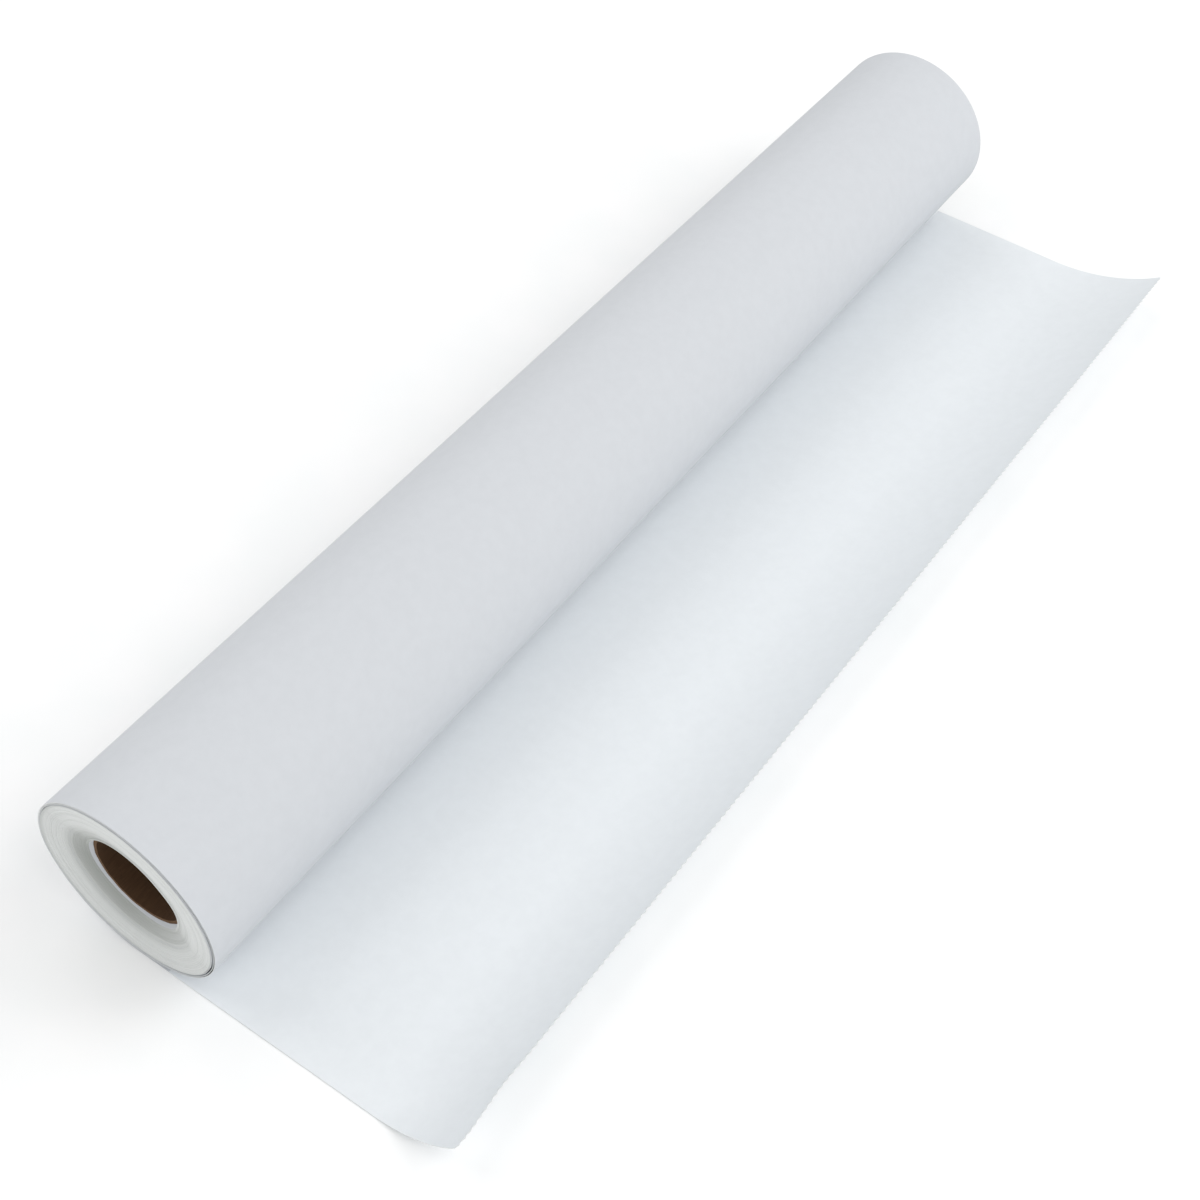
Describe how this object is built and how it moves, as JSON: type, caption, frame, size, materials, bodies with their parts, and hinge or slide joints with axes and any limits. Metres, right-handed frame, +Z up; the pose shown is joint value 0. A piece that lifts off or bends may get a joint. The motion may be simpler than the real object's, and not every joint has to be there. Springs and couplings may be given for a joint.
{
  "type": "backdrop paper roll",
  "caption": "Narrow roll of white backdrop paper on a board core, with its saw-cut free end drawn out flat and curling up.",
  "frame": {"origin": "on the core's axis, half way along the core", "axes": "+Y along the roll, away from its loosened end; +X towards the free end of the sheet; +Z up"},
  "size_m": [0.1503, 0.4534, 0.0685],
  "materials": {
    "paper_web": "matt uncoated white paper",
    "core_board": "matt brown kraft board",
    "core_liner": "matt dark kraft liner",
    "start_tape": "satin double-sided tissue tape"
  },
  "bodies": {
    "laid_sheet": {"sheet_span": "paper_web", "sheet_apron": "paper_web"},
    "nip": {"sheet_takeoff": "paper_web"},
    "roll": {"core_inner_ply": "core_liner", "core_middle_ply": "core_board", "core_outer_ply": "core_board", "start_tape": "start_tape", "inner_wraps": "paper_web", "packed_wraps": "paper_web", "loose_wrap_1": "paper_web", "loose_wrap_2": "paper_web", "loose_wrap_3": "paper_web"},
    "free_end": {"sheet_free_end": "paper_web"}
  },
  "joints": [
    {"name": "roll_travel", "type": "slide", "parent": "laid_sheet", "child": "nip", "axis": [1, 0, 0], "range_m": [0, 0.048], "deforming": ["sheet_span"]},
    {"name": "roll_spin", "type": "hinge", "parent": "nip", "child": "roll", "pos_m": [0, 0, 0], "axis": [0, 1, 0], "range_deg": [0, 85]},
    {"name": "free_end_lift", "type": "hinge", "parent": "laid_sheet", "child": "free_end", "pos_m": [0.08, -0.0035, -0.0343], "axis": [0, -1, 0], "range_deg": [0, 40]}
  ],
  "couplings": [
    {"joint": "roll_spin", "follows": "roll_travel", "rad_per_m": 29.154}
  ]
}
